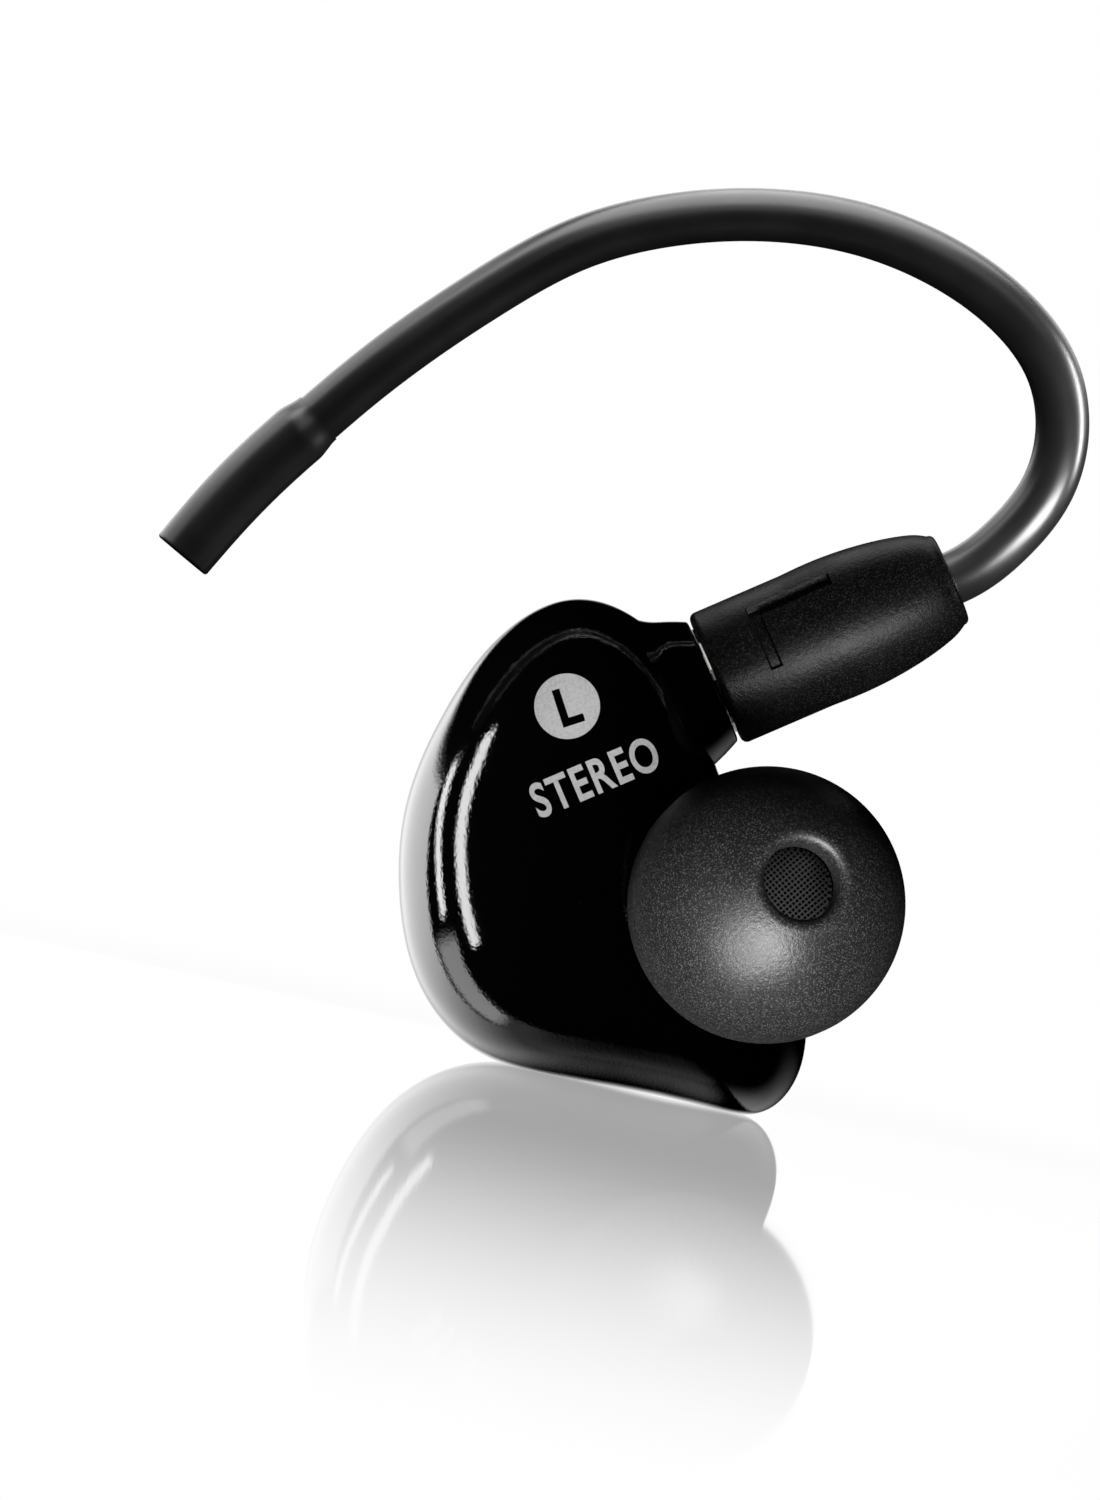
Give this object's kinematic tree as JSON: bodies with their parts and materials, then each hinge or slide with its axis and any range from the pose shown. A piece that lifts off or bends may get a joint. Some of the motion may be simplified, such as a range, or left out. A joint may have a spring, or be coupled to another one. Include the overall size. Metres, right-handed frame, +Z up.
{
  "type": "in-ear monitor",
  "caption": "Left in-ear monitor: glossy two-part housing, silicone ear tip on a slanted nozzle, and a plug that turns and pulls off, with a formed over-ear hook.",
  "frame": {"origin": "middle of the housing's flat outer face", "axes": "+Y out of the flat outer face, away from the ear; -Y into the ear canal; +Z up as worn; +X towards the wearer's face"},
  "size_m": [0.0422, 0.0216, 0.0422],
  "materials": {
    "housing_gloss": "high gloss black",
    "soft_black": "matte black",
    "hook_black": "satin black",
    "silicone_black": "matte black",
    "gold_plate": "gold plated",
    "nickel_plate": "nickel plated",
    "steel": "plain",
    "screen_steel": "dark woven mesh",
    "driver_plastic": "moulded",
    "white_insulator": "moulded",
    "diaphragm_film": "clear film",
    "copper": "enamelled copper wire",
    "foam_grey": "open foam",
    "board_green": "solder mask",
    "wire_red": "enamel"
  },
  "bodies": {
    "housing": {"inner_shell": "housing_gloss", "outer_shell": "housing_gloss", "nozzle_screen": "screen_steel", "screen_retainer": "steel", "nozzle_damper": "foam_grey", "driver_gasket": "foam_grey", "driver_cover": "steel", "diaphragm_surround": "diaphragm_film", "pole_plate": "steel", "magnet": "steel", "magnet_yoke": "steel", "driver_frame": "driver_plastic", "rear_felt": "foam_grey", "terminal_board": "board_green", "wire_signal": "wire_red", "wire_return": "copper", "socket_barrel": "nickel_plate", "socket_insulator": "white_insulator", "socket_contact": "gold_plate"},
    "diaphragm": {"diaphragm_dome": "diaphragm_film", "voice_coil": "copper"},
    "snap_ring_body": {"snap_ring": "steel"},
    "plug": {"plug_barrel": "nickel_plate", "plug_insulator": "white_insulator", "plug_pin": "gold_plate", "crimp_ferrule": "nickel_plate", "plug_overmould": "soft_black", "lead_core": "hook_black", "ear_hook": "hook_black", "outlet_sleeve": "soft_black"},
    "ear_tip_body": {"ear_tip": "silicone_black"}
  },
  "joints": [
    {"name": "plug_pull", "type": "slide", "parent": "housing", "child": "snap_ring_body", "axis": [0.9184, 0, 0.3955], "range_m": [0, 0.006]},
    {"name": "plug_swivel", "type": "hinge", "parent": "snap_ring_body", "child": "plug", "pos_m": [0.00515, -0.0045, 0.00815], "axis": [0.9184, 0, 0.3955], "range_deg": [-150, 85]},
    {"name": "ear_tip_pull", "type": "slide", "parent": "housing", "child": "ear_tip_body", "axis": [0.2502, -0.9472, 0.2005], "range_m": [0, 0.0065]},
    {"name": "diaphragm_travel", "type": "slide", "parent": "housing", "child": "diaphragm", "axis": [0, -1, 0], "range_m": [-0.00015, 0.00015], "stiffness_N_per_m": 100}
  ]
}
